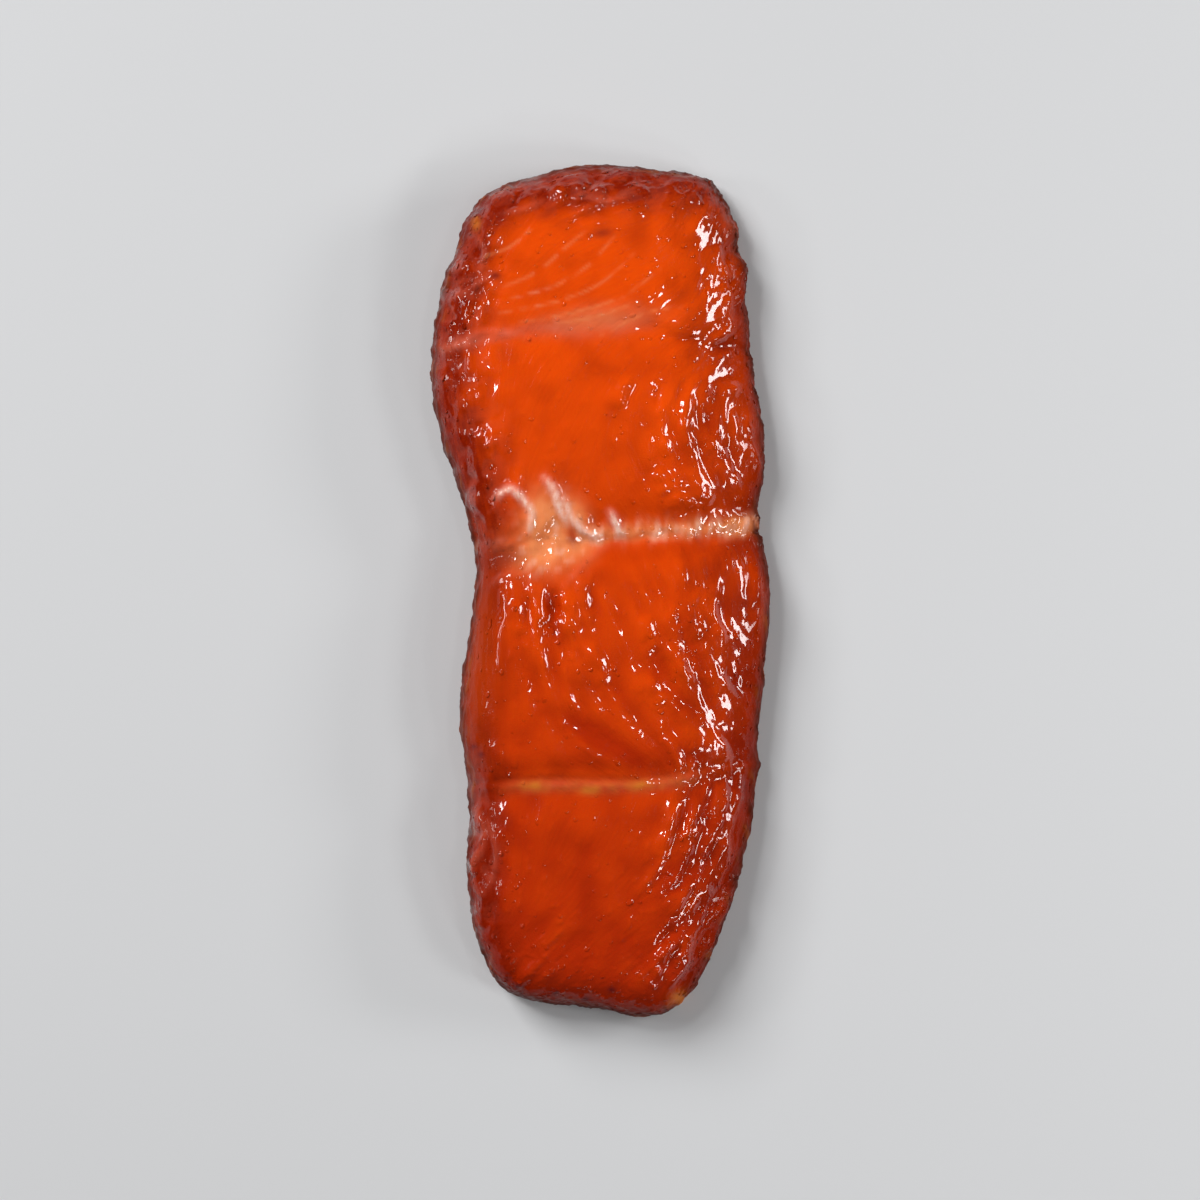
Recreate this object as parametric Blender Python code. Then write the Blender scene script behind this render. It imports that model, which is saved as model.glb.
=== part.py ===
"""One smoked salmon fillet strip, lying skin side down, as one solid.

Frame: metres, +Z up, +Y along the fillet towards its broad end, origin under the middle of its box.
The flat underside rests on z = 0. The fillet's own sizes below are in millimetres.
"""

import bmesh
import bpy
import numpy as np

MM = 0.001

# Driving dimensions
LENGTH = 230.0
WIDTH = 92.0
CROWN = 21.5  # highest point of the flesh over the table
EDGE_HEIGHT = 4.5  # where the flank is widest, above the table

# Half of the length and of the width, which the outline's points are shares of
HALF_L = LENGTH / 2
HALF_W = WIDTH / 2

# The outline seen from above, as (x, y) shares of the half sizes, and each side's end is the next one's start
LEFT_SIDE = [
    (-0.74, 0.905), (-0.86, 0.79), (-0.96, 0.66), (-1.0, 0.51), (-0.94, 0.36), (-0.82, 0.21),
    (-0.745, 0.10), (-0.75, -0.03), (-0.81, -0.20), (-0.83, -0.31), (-0.775, -0.46),
    (-0.785, -0.62), (-0.765, -0.76), (-0.68, -0.87), (-0.59, -0.93),
]
RIGHT_SIDE = [
    (0.73, 0.93), (0.80, 0.84), (0.86, 0.70), (0.90, 0.53), (0.97, 0.38), (0.965, 0.25),
    (0.91, 0.175), (0.965, 0.10), (1.0, 0.01), (0.985, -0.13), (0.94, -0.29), (0.915, -0.46),
    (0.875, -0.58), (0.79, -0.71), (0.66, -0.85), (0.56, -0.93),
]
BROAD_END = [
    (-0.74, 0.905), (-0.62, 0.94), (-0.42, 0.968), (-0.20, 0.992), (0.05, 1.0), (0.25, 0.992),
    (0.46, 0.984), (0.62, 0.968), (0.73, 0.93),
]
TAIL_END = [
    (-0.59, -0.93), (-0.47, -0.955), (-0.28, -0.972), (-0.02, -0.984), (0.16, -0.998),
    (0.31, -1.0), (0.45, -0.975), (0.56, -0.93),
]

# How far in from each edge the flesh goes on rising: the left flank is short and steep, the right one long and round
LEFT_RISE = 13.0
RIGHT_RISE = 27.0
BROAD_END_RISE = 15.0
TAIL_END_RISE = 17.0
FLANK_ROUNDNESS = 0.62  # 0.5 is a true quarter round, and 1 a softer slope

# The flesh is thickest along a line left of the middle, and falls away from it across the fillet
RIDGE_X = -12.0
FALL = 3.2  # how much lower it is half a width to the side of that line

# Thickness along the fillet as (y share, share of the crown): four plump lobes between three seams
THICKNESS = [(-1.0, 0.84), (-0.72, 0.93), (-0.42, 0.97), (-0.16, 1.0), (0.14, 0.95), (0.38, 1.0), (0.62, 0.97),
             (0.84, 0.93), (1.0, 0.86)]

# The seams cross the fillet, each as (x, y) shares from flank to flank, with its depth and width in mm.
# A lip is how far the flesh on the broad end's side stands over the flesh on the tail's side.
SEAMS = {
    "shoulder": {
        "course": [(-1.0, 0.55), (-0.47, 0.60), (0.0, 0.625), (0.24, 0.62), (0.53, 0.585), (1.0, 0.565)],
        "depth": 0.9, "width": 4.0, "lip": 0.5,
    },
    "waist": {
        "course": [(-1.0, 0.09), (-0.53, 0.107), (-0.24, 0.12), (0.12, 0.135), (0.47, 0.143), (1.0, 0.155)],
        "depth": 3.6, "width": 5.5, "lip": 0.6,
    },
    "tail": {
        "course": [(-1.0, -0.46), (-0.6, -0.442), (-0.24, -0.436), (0.12, -0.438), (0.41, -0.428), (1.0, -0.385)],
        "depth": 1.5, "width": 4.5, "lip": 1.6,
    },
}

# The mesh: quads across and along the top, and how strongly they crowd towards the edges
ACROSS = 42
ALONG = 88
CROWDING = 0.65

# Below the widest line the flank tucks in to the table, as (inset, height) in mm
TUCK = [(0.9, 2.0), (3.4, 0.0)]


def smooth_curve(points, share):
    """The point at a share of the way along a Catmull-Rom curve through the given points."""
    points = np.array(points, float)
    steps = np.linalg.norm(np.diff(points, axis=0), axis=1)
    reached = np.concatenate([[0.0], np.cumsum(steps)]) / steps.sum()
    k = int(np.clip(np.searchsorted(reached, share, side="right") - 1, 0, len(steps) - 1))
    t = (share - reached[k]) / (reached[k + 1] - reached[k])
    before, start, end, after = (points[min(max(k + n, 0), len(points) - 1)] for n in (-1, 0, 1, 2))
    return 0.5 * (
        2 * start
        + (end - before) * t
        + (2 * before - 5 * start + 4 * end - after) * t**2
        + (3 * start - before - 3 * end + after) * t**3
    )


def smooth_value(pairs, at):
    """A smooth value between (place, value) pairs: each step eases in and out."""
    places, values = zip(*pairs)
    k = int(np.clip(np.searchsorted(places, at) - 1, 0, len(places) - 2))
    t = float(np.clip((at - places[k]) / (places[k + 1] - places[k]), 0, 1))
    return values[k] + (values[k + 1] - values[k]) * t * t * (3 - 2 * t)


def plan(u, v):
    """A place on the table in mm, for u across and v along from -1 to 1: a Coons patch between the four sides."""
    s, t = (u + 1) / 2, (v + 1) / 2
    left, right = smooth_curve(LEFT_SIDE[::-1], t), smooth_curve(RIGHT_SIDE[::-1], t)
    low, high = smooth_curve(TAIL_END, s), smooth_curve(BROAD_END, s)
    corners = (
        (1 - s) * (1 - t) * np.array(TAIL_END[0])
        + s * (1 - t) * np.array(TAIL_END[-1])
        + (1 - s) * t * np.array(BROAD_END[0])
        + s * t * np.array(BROAD_END[-1])
    )
    x, y = (1 - s) * left + s * right + (1 - t) * low + t * high - corners
    return x * HALF_W, y * HALF_L


def flank(distance, rise):
    """From 0 at the edge to 1 at the rise's inner end, steep at first and then round."""
    t = np.clip(distance / rise, 0, 1)
    return (1 - (1 - t) ** 2) ** FLANK_ROUNDNESS


def seam_relief(x, y):
    """How much the seams lower the flesh, in mm."""
    total = 0.0
    for seam in SEAMS.values():
        line = smooth_value(seam["course"], x / HALF_W) * HALF_L
        away = (y - line) / seam["width"]
        groove = seam["depth"] * np.exp(-(away**2))
        step = seam["lip"] * np.exp(-((away / 2) ** 2)) * np.tanh(away * 1.6)
        total += groove - step
    return total


def height(u, v):
    """The top surface's height over the table, in mm."""
    x, y = plan(u, v)
    rise = (
        flank((1 + u) * HALF_W, LEFT_RISE)
        * flank((1 - u) * HALF_W, RIGHT_RISE)
        * flank((1 + v) * HALF_L, TAIL_END_RISE)
        * flank((1 - v) * HALF_L, BROAD_END_RISE)
    )
    crown = CROWN * smooth_value(THICKNESS, y / HALF_L) - FALL * ((x - RIDGE_X) / HALF_W) ** 2
    return EDGE_HEIGHT + rise * (crown - EDGE_HEIGHT - seam_relief(x, y))


def crowded(share):
    """Moves a grid share from -1 to 1 towards the edges, where the flank needs more quads."""
    return (1 - CROWDING) * share + CROWDING * np.sin(np.pi / 2 * share)


def raised_top(bm):
    """The top surface, from a flat grid whose vertices keep their u and v."""
    across, along = bm.verts.layers.float.new("across"), bm.verts.layers.float.new("along")
    bmesh.ops.create_grid(bm, x_segments=ACROSS, y_segments=ALONG, size=1.0)
    for vert in bm.verts:
        u, v = crowded(vert.co.x), crowded(vert.co.y)
        vert[across], vert[along] = u, v
        vert.co = (*plan(u, v), height(u, v))
    return across, along


def tucked_flank(bm, across, along):
    """Extrudes the top's open edge down and inwards to the table, and closes it with the flat underside."""
    rim = [edge for edge in bm.edges if edge.is_boundary]
    for inset, level in TUCK:
        made = bmesh.ops.extrude_edge_only(bm, edges=rim)["geom"]
        rim = [item for item in made if isinstance(item, bmesh.types.BMEdge)]
        for vert in (item for item in made if isinstance(item, bmesh.types.BMVert)):
            x, y = plan(vert[across] * (1 - inset / HALF_W), vert[along] * (1 - inset / HALF_L))
            vert.co = (x, y, level)
    rim = [edge for edge in bm.edges if edge.is_boundary]
    bmesh.ops.contextual_create(bm, geom=rim)


def centred(bm):
    """Puts the origin under the middle of the box, and scales to metres."""
    points = np.array([vert.co for vert in bm.verts])
    low, high = points.min(axis=0), points.max(axis=0)
    middle = ((low[0] + high[0]) / 2, (low[1] + high[1]) / 2, low[2])
    bmesh.ops.translate(bm, verts=bm.verts, vec=[-c for c in middle])
    bmesh.ops.scale(bm, verts=bm.verts, vec=(MM, MM, MM))


def glazed_flesh():
    material = bpy.data.materials.new("glazed_flesh")
    material.use_nodes = True
    shader = material.node_tree.nodes["Principled BSDF"]
    shader.inputs["Base Color"].default_value = (0.62, 0.065, 0.006, 1.0)
    shader.inputs["Roughness"].default_value = 0.2
    shader.inputs["Metallic"].default_value = 0.0
    return material


def smoked_fillet():
    bm = bmesh.new()
    across, along = raised_top(bm)
    tucked_flank(bm, across, along)
    centred(bm)
    bmesh.ops.recalc_face_normals(bm, faces=bm.faces)
    mesh = bpy.data.meshes.new("smoked_fillet")
    bm.to_mesh(mesh)
    bm.free()
    mesh.shade_smooth()
    mesh.set_sharp_from_angle(angle=np.radians(50))
    fillet = bpy.data.objects.new("smoked_fillet", mesh)
    fillet.data.materials.append(glazed_flesh())
    bpy.context.scene.collection.objects.link(fillet)


for old in list(bpy.data.objects):
    bpy.data.objects.remove(old)
smoked_fillet()
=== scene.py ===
# %% [markdown]
# # A strip of glazed smoked salmon
#
# The fish is one side strip of salmon, cured, glazed with syrup and smoked hot until it
# shines. It is a single thick piece of flesh: four plump lobes between three cross seams, with
# a browned, lacy edge and a flat underside. Nothing is fastened to it, so the lesson is about
# one surface: how flesh swells, flakes, tears and shines.
#
# We work in three stages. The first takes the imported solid, which has the true outline and
# crown, and gives it enough small faces to hold detail. The second moves those points, as a
# sculptor would, along the lie of the flakes. The third paints and glazes it, and lights it.

import math

import bpy
import numpy as np
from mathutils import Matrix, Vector, kdtree


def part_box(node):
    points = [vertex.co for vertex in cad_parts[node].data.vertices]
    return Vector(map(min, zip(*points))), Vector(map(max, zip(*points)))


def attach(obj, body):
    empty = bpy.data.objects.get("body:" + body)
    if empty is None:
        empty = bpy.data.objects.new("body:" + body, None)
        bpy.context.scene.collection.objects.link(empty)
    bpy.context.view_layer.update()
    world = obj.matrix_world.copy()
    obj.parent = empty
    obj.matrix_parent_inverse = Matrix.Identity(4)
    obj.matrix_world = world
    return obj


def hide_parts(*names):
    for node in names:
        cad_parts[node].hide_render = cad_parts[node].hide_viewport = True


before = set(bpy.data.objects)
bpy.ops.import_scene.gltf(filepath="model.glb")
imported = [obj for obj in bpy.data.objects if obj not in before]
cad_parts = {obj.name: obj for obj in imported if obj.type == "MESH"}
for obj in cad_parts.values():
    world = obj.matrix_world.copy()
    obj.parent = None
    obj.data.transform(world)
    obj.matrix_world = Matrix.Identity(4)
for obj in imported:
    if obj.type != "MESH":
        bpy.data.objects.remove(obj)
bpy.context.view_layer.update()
low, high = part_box("smoked_fillet")
print("fillet:", [round(1000 * side, 1) for side in high - low], "mm")

# %% [markdown]
# ## The body of flesh
#
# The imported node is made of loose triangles, each with corners of its own. A copy of it is
# merged back into one skin, and pairs of triangles become quads again, because a surface of
# even quads subdivides smoothly. We could start from a grid and lift it instead, but the solid
# already has the outline, the crown and the seams, and the looks must keep to them.

# %% Merge a copy of the solid into quads
MM = 0.001
TOUCHING = 0.000001
HALF_TURN = math.pi
EDGES_ACROSS = 42  # edges over each end of the fillet, which the underside's grid follows


def only(piece):
    """Selects one object and makes it the active one."""
    bpy.ops.object.select_all(action="DESELECT")
    piece.select_set(True)
    bpy.context.view_layer.objects.active = piece


def select_faces(piece, wanted):
    """Selects the faces that a test picks by their centre and normal, and leaves edit mode on."""
    bpy.ops.object.mode_set(mode="EDIT")
    bpy.ops.mesh.select_mode(type="FACE")
    bpy.ops.mesh.select_all(action="DESELECT")
    bpy.ops.object.mode_set(mode="OBJECT")
    for face in piece.data.polygons:
        face.select = wanted(face.center, face.normal)
    bpy.ops.object.mode_set(mode="EDIT")


def underneath(centre, normal):
    """True for a face of the flat underside."""
    return normal.z < -0.99 and centre.z < 0.05 * MM


fillet = bpy.data.objects.new("fillet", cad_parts["smoked_fillet"].data.copy())
bpy.context.scene.collection.objects.link(fillet)
only(fillet)
bpy.ops.object.mode_set(mode="EDIT")
bpy.ops.mesh.select_all(action="SELECT")
bpy.ops.mesh.remove_doubles(threshold=TOUCHING)
bpy.ops.mesh.tris_convert_to_quads(face_threshold=HALF_TURN, shape_threshold=HALF_TURN)
bpy.ops.object.mode_set(mode="OBJECT")
print("merged:", len(fillet.data.vertices), "corners,", len(fillet.data.polygons), "faces")

# %% [markdown]
# The flat underside is a fan of long slivers, which would subdivide badly. We take it off and
# close the opening again with a grid of quads that follows the edge.

# %% Lay a new underside
select_faces(fillet, underneath)
bpy.ops.mesh.delete(type="FACE")
bpy.ops.mesh.select_mode(type="EDGE")
bpy.ops.mesh.select_all(action="DESELECT")
bpy.ops.mesh.select_non_manifold(extend=False)
bpy.ops.mesh.fill_grid(span=EDGES_ACROSS)
bpy.ops.object.mode_set(mode="OBJECT")
print("underside laid:", len(fillet.data.polygons), "faces")

# %% [markdown]
# Two levels of Subdivision Surface bring the corners of the top to about 0.6 mm apart, close
# enough for flakes and wrinkles of one or two millimetres to be real shape. The underside has
# no detail, so it is decimated, which leaves the piece light enough.

# %% Subdivide the top and thin the underside
UNDERSIDE_KEEPS = 0.10

subdivision = fillet.modifiers.new("Subdivision", "SUBSURF")
subdivision.levels = 2
subdivision.render_levels = 2
bpy.ops.object.modifier_apply(modifier="Subdivision")
select_faces(fillet, underneath)
bpy.ops.mesh.decimate(ratio=UNDERSIDE_KEEPS)
bpy.ops.object.mode_set(mode="OBJECT")
bpy.ops.object.shade_smooth()
print("faces:", len(fillet.data.polygons))

# %% [markdown]
# ## Reading the surface
#
# From here on the corners are handled as arrays of numbers, in millimetres. A sculptor's brush
# works the same way: it asks where each point is, how near it is to the edge, and which way
# the flesh runs, and moves the point a little. First come the helpers that answer those
# questions.

# %% Corners as arrays
def read(field):
    """One vector for each corner of the fillet."""
    values = np.empty(len(fillet.data.vertices) * 3)
    fillet.data.vertices.foreach_get(field, values)
    return values.reshape(-1, 3)


place = read("co") / MM
facing = read("normal")
x, y, z = place.T
print("corners:", len(x))

# %% How far each corner is from the edge
EDGE_HEIGHT = 4.5  # mm above the table, where the flank is widest


def distance_inside(points, outline):
    """Plan distance from each point to the nearest point of the outline, in millimetres."""
    tree = kdtree.KDTree(len(outline))
    for number, (across, along) in enumerate(outline):
        tree.insert((across, along, 0), number)
    tree.balance()
    return np.array([tree.find((across, along, 0))[2] for across, along in points])


widest = (np.abs(facing[:, 2]) < 0.35) & (np.abs(z - EDGE_HEIGHT) < 1.5)
inset = distance_inside(place[:, :2], place[widest, :2])
inset[z < EDGE_HEIGHT] = 0.0
print("outline:", widest.sum(), "corners, deepest inside", round(inset.max(), 1), "mm")

# %% [markdown]
# Smooth noise is the raw material of everything uneven here: hills and hollows of a chosen
# size, from random slopes on a lattice. `step` fades from 0 to 1, and `spot` and `line` say how
# near a point is to a place or to a drawn curve, from 1 on it to 0 away from it.

# %% Noise, steps, spots and lines
LATTICE = 128  # random slopes each way, after which the noise repeats


def fade(share):
    """Smooth curve from 0 to 1."""
    share = np.clip(share, 0, 1)
    return share * share * (3 - 2 * share)


def step(value, start, end):
    """0 up to start, 1 from end, and smooth between them."""
    return fade((value - start) / (end - start))


def noise(across, along, cell, seed):
    """Hills and hollows about one cell wide, mostly between -1 and 1."""
    turns = np.random.default_rng(seed).uniform(0, 2 * math.pi, (LATTICE, LATTICE))
    u, v = across / cell, along / cell
    column, row = np.floor(u).astype(int), np.floor(v).astype(int)
    u, v = u - column, v - row
    total = np.zeros_like(u)
    for right in (0, 1):
        for up in (0, 1):
            turn = turns[(column + right) % LATTICE, (row + up) % LATTICE]
            slope = np.cos(turn) * (u - right) + np.sin(turn) * (v - up)
            total += slope * np.abs(1 - right - fade(u)) * np.abs(1 - up - fade(v))
    return 1.6 * total


def near(distance, reach):
    """1 at no distance, and 0 well past the reach."""
    return np.exp(-((distance / reach) ** 2))


def spot(at, size, turn=0):
    """1 at a place and 0 away from it; the size is its reach along and across the turn, in degrees."""
    c, s = math.cos(math.radians(turn)), math.sin(math.radians(turn))
    dx, dy = x - at[0], y - at[1]
    return np.exp(-((c * dx + s * dy) / size[0]) ** 2 - ((c * dy - s * dx) / size[1]) ** 2)


def spots(places):
    """Several spots added up, each given by its amount, place, size and turn."""
    return sum(amount * spot(at, size, turn) for amount, at, size, turn in places)


def curve_through(points, pieces=12):
    """A smooth curve through the points, as many short straight runs."""
    points = [np.array(point, float) for point in points]
    points = [2 * points[0] - points[1]] + points + [2 * points[-1] - points[-2]]
    run = []
    for a, b, c, d in zip(points, points[1:], points[2:], points[3:]):
        for t in np.linspace(0, 1, pieces, endpoint=False):
            run.append(0.5 * (2 * b + (c - a) * t + (2 * a - 5 * b + 4 * c - d) * t**2
                              + (3 * b - a - 3 * c + d) * t**3))
    return run + [points[-2]]


def beside(points):
    """For each corner: its distance to the curve, its side (+ on the left), and how far along, 0 to 1."""
    run = curve_through(points)
    nearest = np.full_like(x, 1e9)
    side = np.zeros_like(x)
    share = np.zeros_like(x)
    for number, (a, b) in enumerate(zip(run, run[1:])):
        way = b - a
        length = np.dot(way, way)
        t = np.clip(((x - a[0]) * way[0] + (y - a[1]) * way[1]) / length, 0, 1)
        dx, dy = x - a[0] - t * way[0], y - a[1] - t * way[1]
        away = np.hypot(dx, dy)
        closer = away < nearest
        nearest[closer] = away[closer]
        side[closer] = np.sign(way[0] * dy - way[1] * dx)[closer]
        share[closer] = ((number + t) / (len(run) - 1))[closer]
    return nearest, side, share


def line(points, width):
    """1 on a curve and 0 beside it, tapering to its ends."""
    away, _, share = beside(points)
    taper = np.sqrt(np.clip(4 * share * (1 - share), 0, 1))
    return near(away, width) * (0.3 + 0.7 * taper)


print("helpers ready")

# %% [markdown]
# ## The lie of the flakes
#
# Salmon muscle is built of thin flakes, and when the strip is bent over a rack and smoked,
# they open and wrinkle along their own direction. That direction turns over the piece: it
# rises to the right on the first lobe, curls like a bracket on the second, leans back on the
# third and forward on the last. A few dozen listed directions are blended into a field, like
# the combing of fur.

# %% The grain of the flesh
GRAIN_REACH = 9.0
GRAIN = [  # (x, y, direction in degrees anticlockwise from +X)
    (0, 92, 27), (11, 79, 22), (-19, 89, 50), (-33, 89, 70), (36, 84, 78), (28, 93, 65), (0, 107, 8),
    (-39, 57, 95), (-35, 38, 100), (-11, 46, 60), (0, 58, 50), (17, 48, 90), (17, 38, 113), (17, 30, 120),
    (26, 49, 80), (27, 41, 110), (27, 30, 125), (31, 24, 150), (32, 41, 110), (37, 27, 105), (40, 46, 90),
    (21, 61, 35), (28, 60, 20), (35, 54, 40), (-3, -3, 110), (0, -19, 115), (13, -11, 112), (15, -26, 122),
    (23, -19, 115), (31, -20, 115), (33, -3, 90), (24, -36, 140), (1, -40, 148), (-16, -8, 90),
    (-16, -30, 100), (-33, -30, 90), (20, -62, 72), (27, -65, 75), (35, -57, 75), (30, -96, 60),
    (24, -89, 50), (11, -85, 32), (-12, -96, 45), (0, -73, 60), (-33, -70, 95),
]


def grain(across, along):
    """The direction of the flakes at each place, as the two parts of a unit vector."""
    east = np.full_like(across, 1e-9)
    north = np.zeros_like(across)
    for gx, gy, degrees in GRAIN:
        weight = np.exp(-((across - gx) ** 2 + (along - gy) ** 2) / (2 * GRAIN_REACH**2))
        east += weight * math.cos(2 * math.radians(degrees))
        north += weight * math.sin(2 * math.radians(degrees))
    turn = np.arctan2(north, east) / 2
    return np.cos(turn), np.sin(turn)


STRIDE = 0.9  # mm between one place of a trail and the next
TRAIL_STEPS = 8


def trails():
    """Places up and down the grain from each corner: first the corner itself, then stride by stride."""
    places = [(0, x, y)]
    for way in (1, -1):
        across, along = x, y
        east, north = grain(x, y)
        east, north = way * east, way * north
        for number in range(1, TRAIL_STEPS + 1):
            turned_east, turned_north = grain(across, along)
            same = np.where(turned_east * east + turned_north * north < 0, -1, 1)
            east, north = same * turned_east, same * turned_north
            across, along = across + STRIDE * east, along + STRIDE * north
            places.append((number * STRIDE, across, along))
    return places


trail = trails()
print("trails:", len(trail), "places for each corner")

# %% [markdown]
# Noise averaged along those trails turns into long ridges and grooves that follow the grain,
# whatever way it curls. The longer the comb, the longer the wrinkles.

# %% Combed noise
def combed(cell, reach, seed):
    """Noise drawn out along the grain, with a spread of 1."""
    total = np.zeros_like(x)
    for distance, across, along in trail:
        if distance < 2 * reach:
            total += noise(across, along, cell, seed) * math.exp(-((distance / reach) ** 2))
    return total / total.std()


def terraces(field, steepness=0.35):
    """Levels the field into flats one apart, with a short slope up to each next one."""
    level = np.floor(field)
    return level + step(field - level, 1 - steepness, 1)


flakes = combed(5.0, 7.0, 11)
wrinkles = combed(2.3, 4.2, 12)
creases = combed(1.5, 3.0, 13)
flake_steps = terraces(1.1 * flakes)
plates = terraces(1.2 * combed(3.4, 4.5, 16), 0.5)
facets = terraces(1.8 * noise(x, y, 6.0, 14) + 0.5 * noise(x, y, 2.6, 15))
print("combed three sizes of wrinkle")

# %% [markdown]
# ## Where the surface is rough
#
# The crown of each lobe dried under the glaze and is smooth as a lozenge. The right flank, the
# left wall and the torn places are crumpled. So the wrinkles are faded in by area: a broad
# rule for each side, and a few listed places.

# %% Smooth crowns and crumpled flanks
ROUGH_PLACES = [  # (place, reach, direction, how rough)
    ((36, 84), (22, 9), 80, 1.1),
    ((-36, 72), (26, 8), 80, 0.7),
    ((28, 41), (24, 13), 100, 1.05),
    ((24, -18), (26, 15), 110, 1.2),
    ((-14, -10), (22, 14), 95, 1.1),
    ((4, -28), (16, 18), 150, 0.6),
    ((24, -42), (8, 12), 160, 1.2),
    ((29, -68), (30, 12), 78, 1.5),
    ((20, -96), (14, 10), 60, 1.2),
    ((-14, -97), (16, 8), 40, 0.5),
    ((-31, -76), (20, 5), 92, 0.7),
    ((-4, 104), (30, 6), 5, 0.7),
    ((-26, 24), (12, 8), 100, 0.6),
    ((-12, 15), (20, 7), 10, 0.7),
    ((20, 16), (24, 4), 4, 0.8),
]
rough = 0.10 + 0.25 * step(x, 12, 34) + 0.15 * step(-x, 20, 36)
for at, size, turn, amount in ROUGH_PLACES:
    rough = np.maximum(rough, amount * spot(at, size, turn))
rough *= 0.75 + 0.5 * noise(x, y, 9.0, 21)
print("rough share of the top:", round(float((rough > 0.5).mean()), 2))

# %% [markdown]
# ## Seams, tears and ridges
#
# The cross seams are where the strip was scored or bent. The left half of the waist is torn
# open: pale sinew bulges in it, with thin fins of it standing up. Its right half is a narrow
# band of sinew. At the tail seam the upper lobe ends in a lip over a pale ledge. Each is a drawn curve with a
# height profile across it, and the curves wander a little so that nothing looks ruled.

# %% The three seams
SHOULDER = [(-42, 65), (-22, 69), (-11, 70.5), (0, 72), (11, 72), (24, 68), (40, 66)]
WAIST = [(-36, 11), (-25, 12.3), (-11, 13.6), (5, 15.5), (21, 16.4), (42, 17.7)]
TAIL = [(-35, -52), (-27, -50.7), (-11, -50.1), (5, -50.4), (19, -49.3), (30, -46.4), (43, -44.7)]


def across_seam(points, wander, seed):
    """Distance from a seam that wanders by some millimetres, + on the broad end's side, and how far along."""
    away, side, share = beside(points)
    wandered = away * side + wander * noise(x, y, 3.5, seed) + 0.4 * wander * noise(x, y, 1.4, seed + 1)
    return wandered, share


shoulder, along_shoulder = across_seam(SHOULDER, 0.8, 31)
waist, along_waist = across_seam(WAIST, 0.9, 33)
tail, along_tail = across_seam(TAIL, 0.35, 35)
print("seams placed")

# %% Heights of the seams
torn = step(along_waist, 0.02, 0.12) * step(-along_waist, -0.56, -0.44)
bulge = 1.5 + 0.6 * noise(x, y, 4.0, 41) + 0.12 * noise(x, y, 2.0, 49)
relief = torn * near(waist - 1.0, 5.0) * bulge

stitched = step(along_waist, 0.44, 0.54)
stitches = noise(x, 0.2 * y, 1.8, 42)  # short ticks across the band
relief += stitched * 0.8 * near(waist - 1.2, 3.0)
relief += stitched * (0.30 + 0.25 * stitches) * near(waist, 1.6)
relief -= stitched * 0.3 * near(waist + 2.2, 1.0)

relief += 0.30 * near(tail - 1.0, 1.1) - 0.15 * near(tail + 0.4, 0.7)
relief += (0.75 + 0.25 * noise(x, y, 4.0, 55)) * near(tail + 1.9, 1.6)
relief -= 0.5 * near(shoulder + 1.0, 1.2) * step(along_shoulder, 0.6, 0.85)
relief += 0.2 * near(shoulder - 1.2, 2.4)
print("seam relief from", round(relief.min(), 2), "to", round(relief.max(), 2), "mm")

# %% [markdown]
# Some wrinkles stand out enough to be drawn one by one: flake edges that step down towards the
# right flank, each with a steep face that will catch the light, and a gentle back. Thin folds,
# sinew fins and soft troughs are drawn the same way, and the left wall of the lower lobes has a
# ridge where it meets the top.

# %% Single ridges and folds
FLAKE_EDGES = [  # each drawn from its broad-end side down, so that its steep face looks right
    [(17, 52), (16.5, 42), (18, 35)],
    [(14.5, 33), (17, 29), (19, 26)],
    [(26.5, 54), (24.5, 48), (26, 42), (28, 38)],
    [(22, 34), (26.5, 27), (31, 24)],
    [(29.5, 47), (32, 40), (35, 33), (38, 23)],
    [(39.5, 50), (40, 41), (42, 34), (41, 28)],
    [(31, 54), (35, 55), (38, 53)],
    [(8, 58), (6, 53), (4, 48)],
    [(31, 93), (32, 88), (35, 82)],
    [(36, 92), (38, 84), (38, 74)],
    [(33, 84), (35, 77), (34, 70)],
    [(-2.5, 5), (-4, -2), (0, -10)],
    [(-2.5, -13), (-0.5, -19), (2.5, -25)],
    [(-16, 2), (-16, -4), (-14, -9)],
    [(-22, -2), (-22, -8), (-20, -12)],
    [(-10, 0), (-10, -7), (-7, -13)],
    [(12, -6), (13.5, -12), (16, -17)],
    [(12, -21), (14.5, -26), (18, -31)],
    [(19.5, -2), (20, -9), (22, -15)],
    [(19.5, -13), (22, -20), (25.5, -26)],
    [(26, 0), (24, -7), (27, -14)],
    [(27, -13), (30, -21), (34, -28)],
    [(33.5, 6), (30.5, -3), (31, -9), (34, -16)],
    [(41, 8), (42, -2), (41, -14)],
    [(22, -31), (26, -34), (31, -33)],
    [(25, -50), (21, -57), (18, -66), (16, -73)],
    [(30, -50), (28, -58), (25, -66), (23, -74)],
    [(35, -50), (33, -58), (31, -66)],
    [(38, -47), (37, -55), (34, -64), (32, -74)],
    [(24, -76), (22, -82), (18, -88)],
    [(30, -76), (28, -84), (24, -92), (20, -98)],
    [(34, -82), (31, -90), (27, -99)],
    [(24, -96), (21, -102), (18, -107)],
    [(19, -93), (17, -99), (14, -104)],
    [(20.5, 26), (21, 24), (21, 21.5)],
    [(22.5, 26), (23.5, 24), (24.5, 22)],
    [(-12, 109), (-10, 106), (-11, 103)],
    [(-7, 109.5), (-5, 106), (-7, 103)],
    [(-2, 109), (0, 106), (-1, 104)],
    [(36, 101), (37.5, 97), (37, 92)],
]
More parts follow.
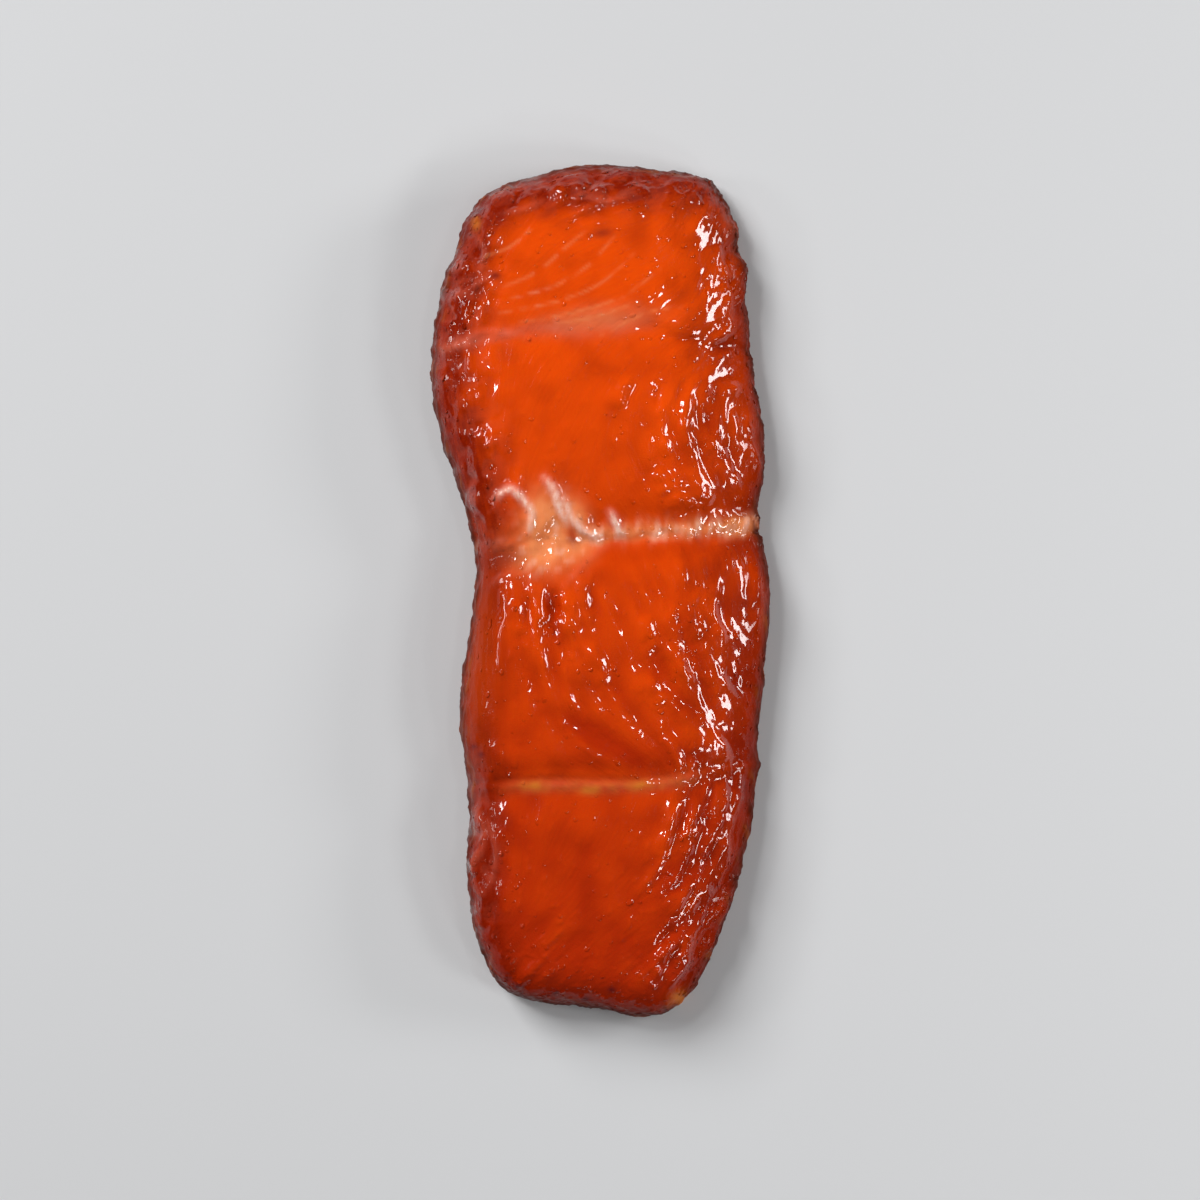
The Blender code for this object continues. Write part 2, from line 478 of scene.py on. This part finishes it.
FOLDS = [
    [(-26, 101), (-20, 102), (-15, 104.5)],
    [(-6, 106), (2, 104), (8, 107)],
    [(-40, 78), (-33, 82), (-28, 85)],
    [(-34, 96), (-31, 91), (-32, 85)],
    [(-38, 66), (-31, 69), (-22, 68)],
    [(-29, 1.5), (-27, 3.3), (-24, 4.5), (-21, 4)],
    [(-29, 9.5), (-27, 11.3), (-23, 12.6)],
    [(-10, 1), (-7, 4), (-4, 7.5), (-1, 10), (2.5, 12)],
    [(-17, 6.5), (-14, 7.3), (-11, 8.2)],
    [(-33, -58), (-31, -66), (-33, -74)],
    [(-30, -62), (-28, -70), (-30, -80)],
]
FINS = [
    [(-28, 25), (-24, 27), (-20.5, 24), (-18.3, 20.5), (-19.3, 16.5)],
    [(-15, 30), (-12.2, 26.5), (-11.2, 23), (-9, 18.5)],
    [(-10.2, 25), (-8.2, 20.5), (-5, 16.7), (-1.5, 14.3)],
    [(2.5, 21), (4, 18.5), (5, 15.5)],
]
SINEW_LINES = [
    [(-26, 81), (-17, 85), (-10, 91), (-4, 96)],
    [(-24, 78), (-13, 81), (-3, 87), (4, 95)],
    [(-27, 74), (-12, 77), (0, 82), (9, 90)],
    [(-22, 71.5), (-8, 74), (6, 78.5), (16, 86)],
    [(-14, 71), (-2, 73), (10, 77)],
    [(-31, 89), (-24, 92), (-18, 97)],
    [(0, 68), (12, 74), (22, 76)],
]
TROUGH = [(-10, -33), (1, -40), (13, -47)]
LEFT_WALL = [(-27, 2), (-26.5, -8), (-27, -20), (-27.5, -34), (-27, -48)]


def highest(curves, width):
    """The nearest of several curves counts at each place."""
    return np.max([line(points, width) for points in curves], axis=0)


def flake_edge(points, back=2.8, face=1.25):
    """A crest on a curve as it is drawn, with a gentle back on its right and a steep face on its left."""
    away, side, share = beside(points)
    away = np.abs(away + 0.35 * noise(x, y, 2.4, 43))
    reach = np.where(side > 0, face, back)
    return near(away, reach) * step(share, 0, 0.25) * step(1 - share, 0, 0.25)


edges = np.max([flake_edge(points) for points in FLAKE_EDGES], axis=0)
folds = highest(FOLDS, 0.9)
fins = highest(FINS, 1.0)
sinew_lines = highest(SINEW_LINES, 0.45) * step(noise(x, y, 3.0, 44), -0.6, 0.2)
trough = line(TROUGH, 3.0)
wall_edge = line(LEFT_WALL, 1.4)
print("drawn:", len(FLAKE_EDGES), "flake edges,", len(FOLDS), "folds,", len(FINS), "fins")

# %% [markdown]
# Now everything is added up and the corners are moved along their normals. The detail fades
# out below the widest part of the flank, so that the fillet still rests flat.

# %% Add up the heights
CRUMPLED_PLACES = [  # the left wall, the broad end and the left of the tail: (amount, place, size, turn)
    (1, (-37, 78), (9, 24), 0),
    (1, (-2, 107), (36, 6), 0),
    (1, (-33, -72), (6, 22), 0),
    (1, (-33, 30), (8, 22), 0),
]
crumpled = np.clip(spots(CRUMPLED_PLACES), 0, 1)
pimples = np.clip(noise(x, y, 1.7, 46) - 0.45, 0, 1) + np.clip(noise(x, y, 2.3, 47) - 0.5, 0, 1)
grit = noise(x, y, 1.5, 45) + 0.6 * noise(x, y, 1.1, 48)
lace = noise(x + z, y - z, 3.4, 53) + 0.5 * noise(x - z, y + z, 1.8, 54)
relief += rough * (0.30 * plates + 0.30 * flake_steps + 0.10 * wrinkles + 0.04 * creases + 0.05 * grit)
relief += (0.62 + 0.20 * rough) * pimples
relief += 0.95 * edges * (0.9 + 0.5 * noise(x, y, 3.4, 50))
relief += 0.45 * folds + 0.8 * fins - 0.5 * trough + 0.20 * wall_edge - 0.05 * sinew_lines
relief += crumpled * (0.55 * facets + 0.06 * wrinkles)
relief += 0.30 * noise(x, y, 13.0, 51) + 0.12 * noise(x, y, 6.0, 52)
relief += 0.45 * lace * near(inset, 2.2)
print("heights from", round(relief.min(), 2), "to", round(relief.max(), 2), "mm")

# %% Move the corners
free_of_table = step(z, 0.6, 3.0)
moved = place + facing * (relief * free_of_table)[:, None]
moved[:, 2] = np.maximum(moved[:, 2], 0)
fillet.data.vertices.foreach_set("co", (moved * MM).ravel())
fillet.data.update()
print("moved", len(moved), "corners")

# %% [markdown]
# ## Where the colours lie
#
# Colour follows the same map as the shape, so it is stored with it, as named values on the
# corners: how pale with sinew, how deeply cured, how browned at the rim, how amber, how
# charred, and where shade and sheen are painted on. The material then mixes its colours by
# them, and the pattern stays on the flesh.

# %% Depth of colour, painted shade and browning
areas = {}
mottle = noise(x, y, 7.0, 61)
speckle = noise(x, y, 2.2, 62)
near_edge = np.exp(-((inset / 6.0) ** 1.5))
left_wall = step(-x, 18, 30) * np.exp(-((inset / 11.0) ** 3))
towards_tail = np.clip((92 - y) / 190, 0, 1)
# Deeper orange towards the tail and near the edge. The trough, the grooves between flakes and every hollow of
# the relief are painted darker as shade, and raised flesh lighter as painted light.
areas["deep_and_hollow_shade"] = (0.92 * towards_tail + 0.10 * mottle + 0.25 * near(inset, 12.0) + 0.35 * trough
                 + 0.15 * rough * np.clip(-flakes, -0.5, 1) + 0.30 * np.clip(-relief, -0.5, 0.9))
areas["cured"] = (near_edge * (0.75 - 0.35 * step(x, 10, 30)) + 0.32 * step(x, 14, 30)
                  + 1.05 * left_wall * (1 - 0.6 * spot((-32, -20), (8, 26)))
                  + 0.9 * spot((-2, 108), (36, 7)) + 0.25 * mottle)
areas["tan_wall"] = spot((-33, -18), (8, 28)) * left_wall
areas["rim"] = near(inset, 1.7) * (0.85 + 0.6 * lace)
print("red share of the top:", round(float((areas["cured"] > 0.5).mean()), 2))

# %% [markdown]
# The glaze is thin where the flesh dried: along the edge and on the left wall, apart from wet
# patches among the crumpled facets.

# %% Dry places
facet_flats = step(facets - np.floor(facets / 2) * 2, 0.3, 0.9)
wet_patches = crumpled * step(noise(x, y, 4.5, 64), -0.05, 0.15)
thin_glaze = np.clip(1 - step(inset + 1.5 * mottle, 2.5, 8.0) + 0.9 * left_wall, 0, 1)
areas["dry"] = thin_glaze * (1 - 0.9 * wet_patches)
print("dry share of the top:", round(float((areas["dry"] > 0.5).mean()), 2))

# %% [markdown]
# Sinew is peach where it is stretched thin and nearly white on its fins and ticks. The shoulder
# and the ledge at the tail are only a little pinker than the flesh beside them. The crests of the
# folds and the flats of the crumpled facets get a painted pink sheen.

# %% Sinew, pink places and painted sheen
PEACH_PLACES = [  # in the torn half of the waist: (amount, place, size, turn)
    (1.1, (-15.5, 20), (4.5, 6), 0),
    (0.9, (-14, 12), (8, 6), 0),
    (1.1, (-5, 19), (6, 4), -45),
    (0.9, (-3, 12.5), (7, 3.5), 0),
    (0.4, (-18, 8), (6, 3), 0),
]
# A pocket in the torn waist, painted as shade: it has less sinew, and it gets a dark spot among the charred
# places.
POCKET_SHADE = spot((-7.6, 15), (1.5, 3.2), 10)
PALE_PLACES = [(0.35, (0, 72.5), (13, 3), 5), (0.7, (36, 17), (3, 2.2), 20)]
PINK_PLACES = [
    (0.6, (-16, 10), (6, 3.0), 10),
    (0.8, (-26.5, 13.6), (1.8, 1.0), 20),
    (0.6, (37, 98), (3, 6), 20),
]
ticks = step(stitches, -0.2, 0.5)
band = stitched * near(waist + 0.8 * noise(x, 0.5 * y, 3.0, 63), 2.2)
stretched = torn * np.clip(spots(PEACH_PLACES), 0, 1) * (1 - 0.8 * POCKET_SHADE) * (1.1 + 0.25 * speckle)
sinew = stretched + 0.35 * sinew_lines + band * (0.75 + 0.35 * ticks) + spots(PALE_PLACES)
areas["sinew"] = sinew
areas["white"] = (fins * (0.85 + 0.6 * noise(x, y, 1.3, 66)) + 0.5 * band * ticks
                  + 0.25 * torn * sinew * step(speckle + mottle, 0.2, 0.7))
ledge = near(tail + 2.0, 1.6) * step(along_tail, 0.12, 0.3) * step(-along_tail, -0.82, -0.7)
shoulder_width = 1.5 + 2.0 * spot((0, 72), (16, 30))
shoulder_band = near(shoulder, shoulder_width) * step(-along_shoulder, -0.75, -0.6)
# Pinker shoulder band and ledge; the pink on the fold crests and on the flats of the crumpled facets is a
# painted sheen.
areas["pink_and_sheen"] = (0.75 * shoulder_band * (0.8 + 0.5 * mottle) + 0.25 * folds + 0.35 * ledge
                 + 0.15 * crumpled * facet_flats * (1 - areas["tan_wall"]) + spots(PINK_PLACES))
print("pale share of the top:", round(float((sinew > 0.5).mean()), 3))

# %% Charred and amber places, and painted shade
# Charred spots, bruises and specks; the spots in the waist's left crease and in its pocket are painted shade.
CHAR_AND_SHADE_PLACES = [
    (0.6, (0.7, 95.5), (3.2, 1.4), 10),
    (0.8, (-28, 84), (1.6, 1.2), 0),
    (0.6, (-25, 8.5), (5, 2.8), 5),
    (0.5, (-35, 99), (3, 6), -25),
    (1, (-33, 102), (1.8, 1.0), 30),
    (0.5, (-7.6, 15), (1.3, 3), 10),
]
SPECKS = [(-34, -42), (-32, -44), (-12, -108), (-4, -110), (3, -107), (-22, -106)]
AMBER_PLACES = [(1, (-33.6, 98.5), (1.2, 1.8), 0), (1, (21.5, -110), (2.5, 2.0), 0)]
AMBER_DROPS = [(-18, -52.3), (-3, -53.4), (10, -52)]  # along the ledge at the tail
areas["char_and_shade"] = spots(CHAR_AND_SHADE_PLACES) + spots([(1, at, (1.1, 0.8), 0) for at in SPECKS])
amber_rim = areas["rim"] * step(noise(x + z, y - z, 5.0, 65) + 0.5 * lace, 0.25, 0.9)
areas["amber"] = (0.5 * amber_rim + ledge * (0.25 + 0.3 * speckle) + spots(AMBER_PLACES)
                  + spots([(0.8, at, (2.6, 1.2), 0) for at in AMBER_DROPS]))
print("areas:", ", ".join(areas))

# %% Store the areas and the lie of the grain on the corners
for name, values in areas.items():
    attribute = fillet.data.attributes.new(name, "FLOAT", "POINT")
    attribute.data.foreach_set("value", np.clip(values, 0, 1).astype(np.float32))
across_grain = np.stack([*grain(x, y), np.zeros_like(x)], axis=1)
lie = fillet.data.attributes.new("lie", "FLOAT_VECTOR", "POINT")
lie.data.foreach_set("vector", across_grain.astype(np.float32).ravel())
print("stored", len(areas), "areas and the lie of the grain")

# %% [markdown]
# ## Shader maths as plain sums
#
# A material is a sum of masks and colours. Written as nodes it is hard to read, so a small
# class wraps a node's output and lets us write `1 - mask * 0.5`. Each such step still makes a
# Math node, so the material opens in the shader editor like any other.

# %% A recipe for materials
class Amount:
    """A node's output that plain sums work on."""

    def __init__(self, recipe, socket):
        self.recipe = recipe
        self.socket = socket

    def sum(self, operation, first, second):
        return self.recipe.node("ShaderNodeMath", {"operation": operation}, {0: first, 1: second})

    def __add__(self, other):
        return self.sum("ADD", self, other)

    def __radd__(self, other):
        return self.sum("ADD", other, self)

    def __sub__(self, other):
        return self.sum("SUBTRACT", self, other)

    def __rsub__(self, other):
        return self.sum("SUBTRACT", other, self)

    def __mul__(self, other):
        return self.sum("MULTIPLY", self, other)

    def __rmul__(self, other):
        return self.sum("MULTIPLY", other, self)

    def clear(self, start, end):
        """0 up to start and 1 from end."""
        return self.recipe.node(
            "ShaderNodeMapRange", {"interpolation_type": "SMOOTHSTEP"},
            {"Value": self, "From Min": start, "From Max": end})


class Recipe:
    """The node tree of one material, with its Principled shader."""

    def __init__(self, name):
        self.material = bpy.data.materials.new(name)
        self.material.use_nodes = True
        self.tree = self.material.node_tree
        self.shader = self.tree.nodes["Principled BSDF"]

    def node(self, kind, settings=None, sockets=None, out=0):
        """Adds a node: its type, its settings, and the values or links of its sockets."""
        node = self.tree.nodes.new(kind)
        for name, value in (settings or {}).items():
            setattr(node, name, value)
        for name, value in (sockets or {}).items():
            self.put(node.inputs[name], value)
        return Amount(self, node.outputs[out])

    def put(self, socket, value):
        """Links an output to a socket, or sets its value."""
        if isinstance(value, Amount):
            self.tree.links.new(value.socket, socket)
        else:
            socket.default_value = value

    def area(self, name):
        """One of the areas stored on the corners."""
        return self.node("ShaderNodeAttribute", {"attribute_name": name}, out="Fac")

    def cloud(self, size, detail=2.0):
        """Soft noise whose hills are about a size in metres across, from 0 to 1."""
        where = self.node("ShaderNodeTexCoord", out="Object")
        return self.node(
            "ShaderNodeTexNoise", {}, {"Vector": where, "Scale": 1 / size, "Detail": detail}, out="Fac")

    def strands(self, thickness, stride, steps=3):
        """Noise drawn out along the grain that is stored on the corners, from 0 to 1."""
        where = self.node("ShaderNodeTexCoord", out="Object")
        lie = self.node("ShaderNodeAttribute", {"attribute_name": "lie"}, out="Vector")
        total = 0
        for number in range(-steps, steps + 1):
            offset = self.node(
                "ShaderNodeVectorMath", {"operation": "SCALE"}, {0: lie, "Scale": number * stride})
            place = self.node("ShaderNodeVectorMath", {"operation": "ADD"}, {0: where, 1: offset})
            total = total + self.node(
                "ShaderNodeTexNoise", {},
                {"Vector": place, "Scale": 1 / thickness, "Detail": 1.0}, out="Fac")
        return (total * (1 / (2 * steps + 1))).clear(0.40, 0.60)

    def blend(self, share, first, second):
        """A colour between two colours."""
        return self.node("ShaderNodeMix", {"data_type": "RGBA"}, {0: share, 6: first, 7: second}, out=2)


def colour(red, green, blue):
    """A colour as a socket takes it."""
    return (red, green, blue, 1.0)


print("recipe ready")

# %% [markdown]
# ## Flesh under glaze
#
# Real glazed salmon is translucent orange flesh under a clear, hard syrup film. The colour
# lives in the flesh and the shine in the film, so the Principled shader gets a coloured base
# with hardly any gloss of its own, and a coat that is nearly a mirror. The coat follows the true shape
# of the mesh, which is why the wrinkles had to be real. A little subsurface softens the flesh.

# %% The flesh and its glaze
BRIGHT_ORANGE = colour(0.84, 0.072, 0.0005)
# The deeper orange of the tail, used also as painted shade in the hollows.
DEEP_ORANGE_AND_SHADE = colour(0.45, 0.023, 0.0005)
CURED_RED = colour(0.23, 0.010, 0.001)
TAN_AMBER = colour(0.42, 0.040, 0.004)
# Dusky pink of sinew bands, used also as a painted sheen on fold crests and facet flats.
DUSKY_PINK_AND_SHEEN = colour(0.70, 0.14, 0.08)
PEACH = colour(0.93, 0.29, 0.10)
SINEW_WHITE = colour(1.0, 0.59, 0.47)
BROWN_RIM = colour(0.085, 0.010, 0.002)
AMBER = colour(0.66, 0.17, 0.020)
# Char colour, used also as painted shade in the waist's crease and pocket.
CHAR_AND_SHADE = colour(0.15, 0.010, 0.008)

flesh = Recipe("glazed_flesh")
cloudy = flesh.cloud(4 * MM)
grainy = flesh.cloud(1.2 * MM)
strands = flesh.strands(0.9 * MM, 0.7 * MM)
tint = flesh.blend(flesh.area("deep_and_hollow_shade"), BRIGHT_ORANGE, DEEP_ORANGE_AND_SHADE)
tint = flesh.blend(flesh.area("cured") * (0.60 + 0.5 * cloudy + 0.2 * strands), tint, CURED_RED)
tint = flesh.blend(flesh.area("tan_wall") * (0.5 + 0.5 * cloudy), tint, TAN_AMBER)
tint = flesh.blend(flesh.area("pink_and_sheen") * (0.5 + 0.6 * cloudy), tint, DUSKY_PINK_AND_SHEEN)
tint = flesh.blend(flesh.area("amber"), tint, AMBER)
tint = flesh.blend(flesh.area("sinew") * (0.75 + 0.3 * cloudy), tint, PEACH)
tint = flesh.blend(flesh.area("white") * (0.7 + 0.5 * strands), tint, SINEW_WHITE)
tint = flesh.blend(flesh.area("rim") * (1 - 0.7 * flesh.area("amber")), tint, BROWN_RIM)
tint = flesh.blend(flesh.area("char_and_shade"), tint, CHAR_AND_SHADE)
shader = flesh.shader
flesh.put(shader.inputs["Base Color"], tint)
flesh.put(shader.inputs["Roughness"], 0.30 - 0.2 * cloudy + 0.3 * flesh.area("rim"))
flesh.put(shader.inputs["Coat Weight"], (0.8 + 0.3 * grainy) * (1 - 0.93 * flesh.area("dry")))
flesh.put(shader.inputs["Normal"], flesh.node(
    "ShaderNodeBump", {}, {"Strength": 0.35, "Distance": 0.15 * MM, "Height": strands + 0.4 * grainy}))
shader.inputs["Specular IOR Level"].default_value = 0.05
shader.inputs["Coat Roughness"].default_value = 0.05
shader.inputs["Coat IOR"].default_value = 1.6
shader.inputs["Subsurface Weight"].default_value = 0.08
shader.inputs["Subsurface Scale"].default_value = 1.5 * MM
shader.inputs["Subsurface Radius"].default_value = (1.0, 0.3, 0.1)
fillet.data.materials.clear()
fillet.data.materials.append(flesh.material)
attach(fillet, "root")
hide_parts("smoked_fillet")
print("fillet:", sum(len(face.vertices) - 2 for face in fillet.data.polygons), "triangles")

# %% [markdown]
# ## Beads of glaze
#
# The syrup also dries in small lens-shaped beads, which give the sparkle between the wrinkles.
# One flattened ball is modelled, and many copies of its corners, each turned, sized and
# pressed into the flesh, make one piece. Each bead takes the colour areas of the flesh under
# it, so that it reads as clear syrup and not as paint.

# %% Scatter the beads
BEADS = 1400
BEAD_RADII = (0.30, 0.85)  # mm
BEAD_FLATNESS = 0.16
BEAD_TILT = 0.16  # how far a bead leans, as a slope

bpy.ops.object.select_all(action="DESELECT")
bpy.ops.mesh.primitive_uv_sphere_add(segments=8, ring_count=6, radius=1)
ball = bpy.context.object
ball_corners = np.array([corner.co for corner in ball.data.vertices])
ball_faces = [list(face.vertices) for face in ball.data.polygons]
bpy.data.objects.remove(ball)

fillet.data.update()
skin = read("co") / MM
outward = read("normal")
chance = (0.3 + 1.0 * rough + 0.8 * near_edge) * step(z, 3, 6) * step(facing[:, 2], 0.2, 0.5)
rng = np.random.default_rng(71)
chosen = rng.choice(len(x), BEADS, replace=False, p=chance / chance.sum())
corners, faces = [], []
for number, under in enumerate(chosen):
    up = outward[under] + rng.normal(0, BEAD_TILT, 3)
    up /= np.linalg.norm(up)
    along = across_grain[under] - up * np.dot(across_grain[under], up)
    along /= np.linalg.norm(along)
    size = rng.uniform(*BEAD_RADII) * rng.uniform(0.6, 1)
    length = size * rng.uniform(1, 1.7)
    shape = np.stack([along * length, np.cross(up, along) * size, up * size * BEAD_FLATNESS])
    corners.append(skin[under] + ball_corners @ shape)
    faces += [[corner + number * len(ball_corners) for corner in face] for face in ball_faces]
bead_mesh = bpy.data.meshes.new("glaze_beads")
bead_mesh.from_pydata((np.concatenate(corners) * MM).tolist(), [], faces)
beads = bpy.data.objects.new("glaze_beads", bead_mesh)
bpy.context.scene.collection.objects.link(beads)
only(beads)
bpy.ops.object.shade_smooth()
for name, values in areas.items():
    under_beads = np.repeat(np.clip(values, 0, 1)[chosen], len(ball_corners))
    copy = bead_mesh.attributes.new(name, "FLOAT", "POINT")
    copy.data.foreach_set("value", under_beads.astype(np.float32))
grain_under_beads = np.repeat(across_grain[chosen], len(ball_corners), axis=0)
copy = bead_mesh.attributes.new("lie", "FLOAT_VECTOR", "POINT")
copy.data.foreach_set("vector", grain_under_beads.astype(np.float32).ravel())
bead_mesh.materials.append(flesh.material)
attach(beads, "root")
print("beads:", BEADS, "with", len(faces), "faces")

# %% [markdown]
# ## The table and the light
#
# Glossy food is drawn by what it mirrors. A flat overall light shows the orange of the flesh,
# and it is hidden from reflections so that it doesn't veil the colour. Small softboxes low on
# the right put the bright streaks on the steep faces of the flakes, two more catch the tail,
# and the smallest ones pick out the crowns and the left wall.

# %% The floor
FLOOR_SIDE = 6  # metres

bpy.ops.mesh.primitive_plane_add(size=FLOOR_SIDE)
floor = bpy.context.object
floor.name = "floor"
paper = Recipe("pale_paper")
paper.shader.inputs["Base Color"].default_value = colour(0.66, 0.665, 0.675)
paper.shader.inputs["Roughness"].default_value = 0.9
paper.shader.inputs["Specular IOR Level"].default_value = 0.2
floor.data.materials.append(paper.material)
print("floor laid")

# %% The lamps
TARGET = Vector((0, 0, 0.01))
ROOM_GLOW = 0.03


def softbox(name, place, size, brightness, mirrored=True):
    """A rectangular lamp that faces the fillet; the brightness is what its own face shows."""
    bpy.ops.object.light_add(type="AREA", location=place)
    lamp = bpy.context.object
    lamp.name = name
    lamp.rotation_euler = (TARGET - Vector(place)).to_track_quat("-Z", "Y").to_euler()
    lamp.data.shape = "RECTANGLE"
    lamp.data.size, lamp.data.size_y = size
    lamp.data.energy = brightness * math.pi * size[0] * size[1]
    lamp.visible_glossy = mirrored
    return lamp


softbox("key", (-1.62, 1.62, 1.60), (1.3, 1.3), 12.8, mirrored=False)
softbox("overhead", (0.0, 0.0, 1.6), (1.6, 1.6), 0.15, mirrored=False)
softbox("glint", (-0.55, 0.42, 1.0), (0.14, 0.14), 28.0)
softbox("low_right", (0.91, 0.17, 0.40), (0.36, 0.18), 15.0)
softbox("tail_right", (0.72, -0.30, 0.62), (0.24, 0.15), 15.0)
softbox("tail_end", (0.48, -0.60, 0.64), (0.12, 0.10), 15.0)
softbox("high_right", (0.36, 0.06, 1.0), (0.08, 0.07), 20.0)
softbox("low_left", (-0.86, 0.12, 0.50), (0.18, 0.10), 15.0)
softbox("left_strip", (-0.70, 0.10, 0.75), (0.12, 0.07), 15.0)
world = bpy.data.worlds.new("room")
world.use_nodes = True
world.node_tree.nodes["Background"].inputs["Color"].default_value = colour(1, 1, 1)
world.node_tree.nodes["Background"].inputs["Strength"].default_value = ROOM_GLOW
bpy.context.scene.world = world

# %% [markdown]
# ## The camera
#
# The fillet is seen from straight above, through a long lens, so that its sides don't flare.

# %% The camera
FRAME_WIDTH = 0.3243  # metres of table from side to side
CENTRE = (-0.0001, -0.0026)

bpy.ops.object.camera_add(rotation=(0, 0, 0))
camera = bpy.context.object
camera.data.lens = 150
height = FRAME_WIDTH * camera.data.lens / camera.data.sensor_width
camera.location = (*CENTRE, height + EDGE_HEIGHT * MM)
bpy.context.scene.camera = camera
bpy.context.scene.view_settings.view_transform = "Standard"
print("camera", round(height, 2), "m above the table")
